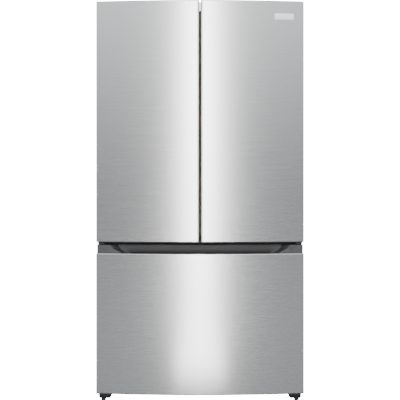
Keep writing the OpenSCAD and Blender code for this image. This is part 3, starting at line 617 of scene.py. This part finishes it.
def notchTools(side):
    # a round for the turning arm and two blocks that open it to the side and to the back
    pin = joints["left_door_hinge"]["pos_m"]
    pinX, pinY = abs(pin[0]) * side, pin[1]
    base, top = high("outer_case").z - notch["depth"], notch["high"]
    bm = bmesh.new()
    bmesh.ops.create_cone(bm, cap_ends=True, segments=64, radius1=notch["radius"], radius2=notch["radius"],
        depth=top, matrix=Matrix.Translation((pinX, pinY, base + top / 2)))
    meshes = [bpy.data.meshes.new("notchTool")]
    bm.to_mesh(meshes[0])
    bm.clear()
    arm, block = notch["arm"], notch["block"]
    edge = halfWidth - abs(pinX) + notch["beyond"]
    for inward, y0, y1 in ((0, arm["front"], arm["back"]), (block["inward"], 0, block["back"])):
        x0, x1 = sorted((pinX + edge * side, pinX - inward * side))
        bmesh.ops.create_cube(bm, size=1)
        for v in bm.verts:
            right, rear, upper = (c > 0 for c in v.co)
            v.co = Vector((x1 if right else x0, pinY + (y1 if rear else y0), base + (top if upper else 0)))
        box = bpy.data.meshes.new("notchBox")
        bm.to_mesh(box)
        bm.clear()
        meshes.append(box)
    bm.free()
    return meshes


def cutAway(ob, tool):
    cut = ob.modifiers.new("cut", "BOOLEAN")
    cut.operation = "DIFFERENCE"
    cut.solver = "EXACT"
    cut.object = tool
    bpy.context.view_layer.update()
    baked(ob)
    bpy.data.objects.remove(tool)


def cutNotch(ob, side):
    # clearance for the hinge arm at the top outer corner of a door
    for mesh in notchTools(side):
        tool = bpy.data.objects.new("notchTool", mesh)
        bpy.context.collection.objects.link(tool)
        cutAway(ob, tool)
    resharpened(ob, front["sharp"])


def makeFronts():
    names = {"left_door_skin": "leftDoorFront", "right_door_skin": "rightDoorFront",
        "drawer_skin": "drawerFront"}
    sides = {"left_door_skin": -1, "right_door_skin": 1}
    for node, name in names.items():
        ob = linkPiece(name, crownedSkin(node, name, low(node).x, high(node).x), node)
        if node in sides:
            cutNotch(ob, sides[node])
        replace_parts(ob, node)
    print("steel fronts ready")


makeFronts()


# soft near-black lips that close the gap between the doors, put there as painted shade: they stand in for the
# shadow that fills the gap

# sizes of the near-black gap lips that paint the shadow in the gap between the doors
lip = {"reach": 0.0034, "depth": 0.002, "setBack": 0.020, "ends": 0.003, "root": 0.0006}


def makeGapShadeLips():
    skinLow, skinHigh = low("right_door_skin"), high("right_door_skin")
    ends = (skinLow.z + lip["ends"], skinHigh.z - lip["ends"])
    root, tip = skinLow.x + lip["root"], skinLow.x - lip["reach"]
    y, d = apexY + lip["setBack"], lip["depth"]
    plan = [(root, y), (root, y + d), (tip + d, y + d), (tip + d * 0.3, y + d * 0.7), (tip, y + d * 0.5),
        (tip + d * 0.3, y + d * 0.15), (tip + d, y)]
    for name, side, node in (("leftGapLip", -1, "left_door_gasket"), ("rightGapLip", 1, "right_door_gasket")):
        bm = bmesh.new()
        rings = [[bm.verts.new((side * px, py, z)) for px, py in plan] for z in ends]
        joinRings(bm, rings)
        bm.faces.new(rings[0][::-1])
        bm.faces.new(rings[1])
        # each lip is near-black painted shade in the gap, hung on its door's gasket
        fromBmesh(name, bm, node, gapShadeBlack, angle=50)
    print("gap lips ready")


# near-black plastic for the gap lips: painted shade standing in for the shadow in the gap
gapShadeBlack = plastic("gapShadeBlack", (0.008, 0.008, 0.009), 0.75, size=600.0)
makeGapShadeLips()


# shared makers for the fittings

def islands(node):
    # lowest and highest corners of each loose part of a node
    bm = welded(node)
    seen, found = set(), []
    for seed in bm.verts:
        if seed in seen:
            continue
        stack, part = [seed], []
        seen.add(seed)
        while stack:
            v = stack.pop()
            part.append(v.co.copy())
            for e in v.link_edges:
                w = e.other_vert(v)
                if w not in seen:
                    seen.add(w)
                    stack.append(w)
        found.append(tuple(Vector(pick(c[i] for c in part) for i in range(3)) for pick in (min, max)))
    bm.free()
    return sorted(found, key=lambda b: tuple(round(c, 4) for c in b[0]))


leastCorner = 0.0002


def roundedRect(x, y, r, steps):
    r = max(r, leastCorner)
    points = []
    left, right, near, far = x[0] + r, x[1] - r, y[0] + r, y[1] - r
    for turn, (cx, cy) in enumerate(((right, far), (left, far), (left, near), (right, near))):
        points += arc(cx, cy, r, turn * math.pi / 2, (turn + 1) * math.pi / 2, steps)
    return points


def sweepLoop(bm, a, b, r, profile, upright=False, steps=5):
    # closed profile of (inset, level) pairs carried round a rounded rectangle, lying flat or upright
    rings = []
    for inset, level in profile:
        plan = roundedRect((a[0] + inset, a[1] - inset), (b[0] + inset, b[1] - inset), r - inset, steps)
        rings.append([bm.verts.new((p, level, q) if upright else (p, q, level)) for p, q in plan])
    joinRings(bm, rings + rings[:1])


def makeRepeatTree():
    # a piece set on every point of a mesh, turned, given a random spin about its own axis, and made real
    tree = bpy.data.node_groups.new("repeatedPiece", "GeometryNodeTree")
    kinds = {"Points": "Geometry", "Piece": "Object", "Turn": "Vector", "Spin": "Float", "Seed": "Int",
        "Finish": "Material"}
    for label, kind in kinds.items():
        tree.interface.new_socket(name=label, in_out="INPUT", socket_type="NodeSocket" + kind)
    tree.interface.new_socket(name="Result", in_out="OUTPUT", socket_type="NodeSocketGeometry")
    gin, gout = tree.nodes.new("NodeGroupInput"), tree.nodes.new("NodeGroupOutput")
    piece = tree.nodes.new("GeometryNodeObjectInfo")
    dots = tree.nodes.new("GeometryNodeMeshToPoints")
    place = tree.nodes.new("GeometryNodeInstanceOnPoints")
    spin = tree.nodes.new("FunctionNodeRandomValue")
    about = tree.nodes.new("ShaderNodeCombineXYZ")
    turn = tree.nodes.new("GeometryNodeRotateInstances")
    real = tree.nodes.new("GeometryNodeRealizeInstances")
    dress = tree.nodes.new("GeometryNodeSetMaterial")
    links = tree.links
    links.new(gin.outputs["Points"], dots.inputs[0])
    links.new(gin.outputs["Piece"], piece.inputs["Object"])
    links.new(dots.outputs[0], place.inputs["Points"])
    links.new(piece.outputs["Geometry"], place.inputs["Instance"])
    links.new(gin.outputs["Turn"], place.inputs["Rotation"])
    links.new(gin.outputs["Spin"], spin.inputs[3])
    links.new(gin.outputs["Seed"], spin.inputs["Seed"])
    links.new(spin.outputs[1], about.inputs["Z"])
    links.new(place.outputs[0], turn.inputs["Instances"])
    links.new(about.outputs[0], turn.inputs["Rotation"])
    links.new(turn.outputs[0], real.inputs[0])
    links.new(real.outputs[0], dress.inputs[0])
    links.new(gin.outputs["Finish"], dress.inputs["Material"])
    links.new(dress.outputs[0], gout.inputs[0])
    return tree


repeatTree = makeRepeatTree()
repeatInputs = {i.name: i.identifier for i in repeatTree.interface.items_tree if i.in_out == "INPUT"}


def repeated(name, points, piece, node, turn=(0, 0, 0), spin=0.0, seed=7):
    mesh = bpy.data.meshes.new(name)
    mesh.from_pydata([tuple(p) for p in points], [], [])
    ob = bpy.data.objects.new(name, mesh)
    bpy.context.collection.objects.link(ob)
    mod = ob.modifiers.new("repeat", "NODES")
    mod.node_group = repeatTree
    values = {"Piece": piece, "Turn": turn, "Spin": spin, "Seed": seed, "Finish": finishes[slotOf[node]]}
    for label, value in values.items():
        mod[repeatInputs[label]] = value
    bpy.context.view_layer.update()
    baked(ob)
    bpy.data.objects.remove(piece)
    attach(ob, bodyOf[node])
    return ob


def template(name, bm):
    ob = bpy.data.objects.new(name, closedMesh(name, bm, 40))
    bpy.context.collection.objects.link(ob)
    return ob


def easedBar(bm, lo, hi, width, segments=2):
    made = bmesh.ops.create_cube(bm, size=1)["verts"]
    for v in made:
        v.co = Vector([(lo if v.co[i] < 0 else hi)[i] for i in range(3)])
    edges = {e for v in made for e in v.link_edges}
    bmesh.ops.bevel(bm, geom=list(edges), offset=width, segments=segments, affect="EDGES", profile=0.5)


def lathe(bm, profile, segments=24):
    # profile of (radius, z) pairs turned about Z, closed at both ends
    turns = [2 * math.pi * i / segments for i in range(segments)]
    rings = [[bm.verts.new((r * math.cos(a), r * math.sin(a), z)) for a in turns] for r, z in profile]
    joinRings(bm, rings)
    bm.faces.new(rings[0])
    bm.faces.new(rings[-1][::-1])


# screws with a cross recess

screw = {"head": 0.0024, "dome": 0.35, "core": 0.48, "root": 0.86, "pitch": 0.0009, "crest": 0.0005,
    "groove": 0.0001, "point": 0.0004, "recess": 0.0009, "arm": 0.62, "slot": 0.2, "above": 0.001,
    "edge": 0.00002, "spin": 3.1, "roundWithin": 0.0002}


def screwTemplate(r, length):
    # outer face at z = 0, threaded shank pointing down
    bm = bmesh.new()
    head = screw["head"]
    dome, core = screw["dome"] * head, screw["core"] * r
    profile = [(r * 0.55, 0), (r * 0.8, -dome * 0.35), (r * 0.95, -dome), (r, -dome * 1.7), (r, -head)]
    z = -head
    while z > -length + screw["point"]:
        profile += [(core * screw["root"], z - screw["groove"]), (core, z - screw["crest"])]
        z -= screw["pitch"]
    profile.append((core * 0.8, -length))
    lathe(bm, profile)
    ob = template("screwTool", bm)
    arm, slot = r * screw["arm"], r * screw["slot"] / 2
    for x, y in ((arm, slot), (slot, arm)):
        bar = bmesh.new()
        easedBar(bar, (-x, -y, -screw["recess"]), (x, y, screw["above"]), screw["edge"], 1)
        cutAway(ob, template("recessTool", bar))
    return ob


def makeScrews():
    groups = {}
    for lo, hi in islands("case_screws"):
        size = hi - lo
        axis = 2 if abs(size.x - size.y) < screw["roundWithin"] else 1
        middle = (lo + hi) / 2
        out = 1 if axis == 2 or middle.y > 0 else -1
        place = middle.copy()
        place[axis] = hi[axis] if out > 0 else lo[axis]
        groups.setdefault((axis, out, round(size.x / 2, 4), round(size[axis], 4)), []).append(place)
    made = []
    for (axis, out, r, length), points in sorted(groups.items()):
        turn = (0, 0, 0) if axis == 2 else (-out * math.pi / 2, 0, 0)
        name = "caseScrews.%d" % len(made)
        piece = screwTemplate(r, length)
        made.append(repeated(name, points, piece, "case_screws", turn, screw["spin"]))
    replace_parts(made[0], "case_screws")
    print("screws ready:", sum(len(p) for p in groups.values()))


makeScrews()


# pleated magnetic gaskets

# one side of the pleats, as shares of the width and of the depth; the other side mirrors it
gasket = {"width": 0.014, "corner": 0.003, "side": [(0.84, 0), (0.8, 0.1), (1.0, 0.22), (0.76, 0.34),
    (1.0, 0.46), (0.8, 0.56), (0.97, 0.64), (1.0, 0.7), (1.0, 0.93), (0.94, 1.0)]}


def makeGaskets():
    pleats = gasket["side"] + [(1 - u, v) for u, v in reversed(gasket["side"])]
    for node, name in (("left_door_gasket", "leftDoorSeal"), ("right_door_gasket", "rightDoorSeal"),
            ("drawer_gasket", "drawerSeal")):
        lo, hi = low(node), high(node)
        bm = bmesh.new()
        profile = [(u * gasket["width"], lo.y + v * (hi.y - lo.y)) for u, v in pleats]
        sweepLoop(bm, (lo.x, hi.x), (lo.z, hi.z), gasket["corner"], profile, upright=True, steps=3)
        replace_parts(fromBmesh(name, bm, node, angle=75), node)
    print("gaskets ready")


makeGaskets()


# rolled rims of the tubs

rim = {"thick": 0.0042, "high": 0.0065, "curl": 0.0012, "runner": 0.010}
rimCorner = {"left_door_bins": 0.012, "right_door_bins": 0.012, "left_crisper": 0.014, "right_crisper": 0.014,
    "lower_basket": 0.016, "upper_basket": 0.016}


def tubPlan(node, lo, hi):
    # outline of the open tub inside a piece's box, without its runners or grip lip
    x, y = [lo.x, hi.x], [lo.y, hi.y]
    if "crisper" in node:
        y[0] += rim["runner"]
    if "basket" in node:
        rearX = [v.co.x for v in nodes[node].data.vertices if v.co.y > hi.y - 0.0001]
        half = max(rearX) + rimCorner[node]
        x = [-half, half]
    return x, y


def makeRims():
    t, h, curl = rim["thick"], rim["high"], rim["curl"]
    for node, corner in rimCorner.items():
        for i, (lo, hi) in enumerate(islands(node)):
            x, y = tubPlan(node, lo, hi)
            section = [(0, -h + 0.001), (0, -curl), (curl / 3, -curl / 3), (curl, 0), (t - curl, 0),
                (t - curl / 3, -curl / 3), (t, -curl), (t, -h * 0.6), (t - curl / 2, -h * 0.8), (0.001, -h)]
            bm = bmesh.new()
            sweepLoop(bm, x, y, corner, [(inset, hi.z + drop) for inset, drop in section])
            fromBmesh("%sRim.%d" % (node.replace("_", ""), i), bm, node, angle=50)
    print("rims ready")


makeRims()


# pressed ribs on the back, hoods over the vents, ribs in the baskets

rib = {"count": 7, "high": 0.016, "proud": 0.0022, "sunk": 0.001, "margin": 0.11, "edge": 0.0009}
hood = {"wide": 0.028, "high": 0.0085, "proud": 0.0032, "thick": 0.0007, "taper": 0.003, "ends": 0.15,
    "steps": 6}
hoodGrid = {"left": -0.266, "low": 0.046, "pitchX": 0.040, "pitchZ": 0.026, "across": 14, "up": 3,
    "sunk": 0.0001}
basketRib = {"count": 15, "half": 0.0015, "proud": 0.0045, "low": 0.004, "high": 0.006, "edge": 0.0007,
    "margin": 0.05, "inset": 0.002}


def makeBackRibs():
    lo, hi = low("back_panel"), high("back_panel")
    half, tall = (hi.x - lo.x) / 2 - rib["margin"], rib["high"] / 2
    bm = bmesh.new()
    easedBar(bm, (-half, -rib["sunk"], -tall), (half, rib["proud"], tall), rib["edge"], 3)
    step = (hi.z - lo.z) / (rib["count"] + 1)
    points = [(0, low("rear_cover").y, lo.z + step * (i + 1)) for i in range(rib["count"])]
    repeated("backRibs", points, template("ribTool", bm), "back_panel")


def makeHood():
    # quarter-round louvre, open underneath, with flattened ends
    bm = bmesh.new()
    half, steps = hood["wide"] / 2, hood["steps"]
    shells = []
    for inner in (0, hood["thick"]):
        deep, tall = hood["proud"] - inner, hood["high"] - inner
        turns = [math.pi / 2 * k / steps for k in range(steps + 1)]
        shells.append([[bm.verts.new((x, deep * math.cos(a), tall * math.sin(a)))
            for x in (-half, -half + hood["taper"], half - hood["taper"], half)] for a in turns])
    for ring in shells[0] + shells[1]:
        for v in (ring[0], ring[3]):
            v.co.y *= hood["ends"]
    order = shells[0] + shells[1][::-1]
    for one, two in zip(order, order[1:] + order[:1]):
        for j in range(3):
            bm.faces.new((one[j], one[j + 1], two[j + 1], two[j]))
    for j, side in ((0, 1), (3, -1)):
        for k in range(steps):
            outer, inner = [[shell[k][j], shell[k + 1][j]] for shell in shells]
            bm.faces.new((outer + inner[::-1])[::side])
    return template("hoodTool", bm)


def makeVentHoods():
    x, y, z = hoodGrid["left"], high("rear_cover").y - hoodGrid["sunk"], low("rear_cover").z + hoodGrid["low"]
    points = [(x + i * hoodGrid["pitchX"], y, z + j * hoodGrid["pitchZ"])
        for i in range(hoodGrid["across"]) for j in range(hoodGrid["up"])]
    repeated("ventHoods", points, makeHood(), "rear_cover")


def makeBasketRibs():
    half, last = basketRib["half"], basketRib["count"] - 1
    for node, name in (("lower_basket", "lowerBasketRibs"), ("upper_basket", "upperBasketRibs")):
        lo, hi = low(node), high(node)
        x, y = tubPlan(node, lo, hi)
        bm = bmesh.new()
        foot, top = lo.z + basketRib["low"], hi.z - basketRib["high"]
        easedBar(bm, (-half, 0, foot), (half, basketRib["proud"], top), basketRib["edge"], 2)
        x0, x1 = x[0] + basketRib["margin"], x[1] - basketRib["margin"]
        wall = y[0] + basketRib["inset"]
        points = [(x0 + (x1 - x0) * i / last, wall, 0) for i in range(basketRib["count"])]
        repeated(name, points, template("ribTool", bm), node)


makeBackRibs()
makeVentHoods()
makeBasketRibs()
print("repeated pieces ready")


# every other node gets eased edges; these want more or less than the usual width

easing = {
    "usual": 0.0006, "drawer_end_caps": 0.0015, "left_door_caps": 0.001, "right_door_caps": 0.001,
    "hinge_covers": 0.0018, "leg_brackets": 0.0008, "outer_case": 0.0004, "fresh_food_liner": 0.0015,
    "freezer_liner": 0.0015, "left_door_liner": 0.0014, "right_door_liner": 0.0014, "drawer_liner": 0.0014,
    "control_housing": 0.0012, "air_duct_cover": 0.001, "evaporator_cover": 0.001, "evaporator_coil": 0.0,
    "condenser_coil": 0.0, "shelf_glass": 0.0008,
}
madeOtherwise = {"left_door_skin", "right_door_skin", "drawer_skin", "case_screws", "left_door_gasket",
    "right_door_gasket", "drawer_gasket"}
for node in sorted(nodes):
    width = easing.get(node, easing["usual"])
    if node not in madeOtherwise and width:
        softened(node, width)
print("eased pieces ready")
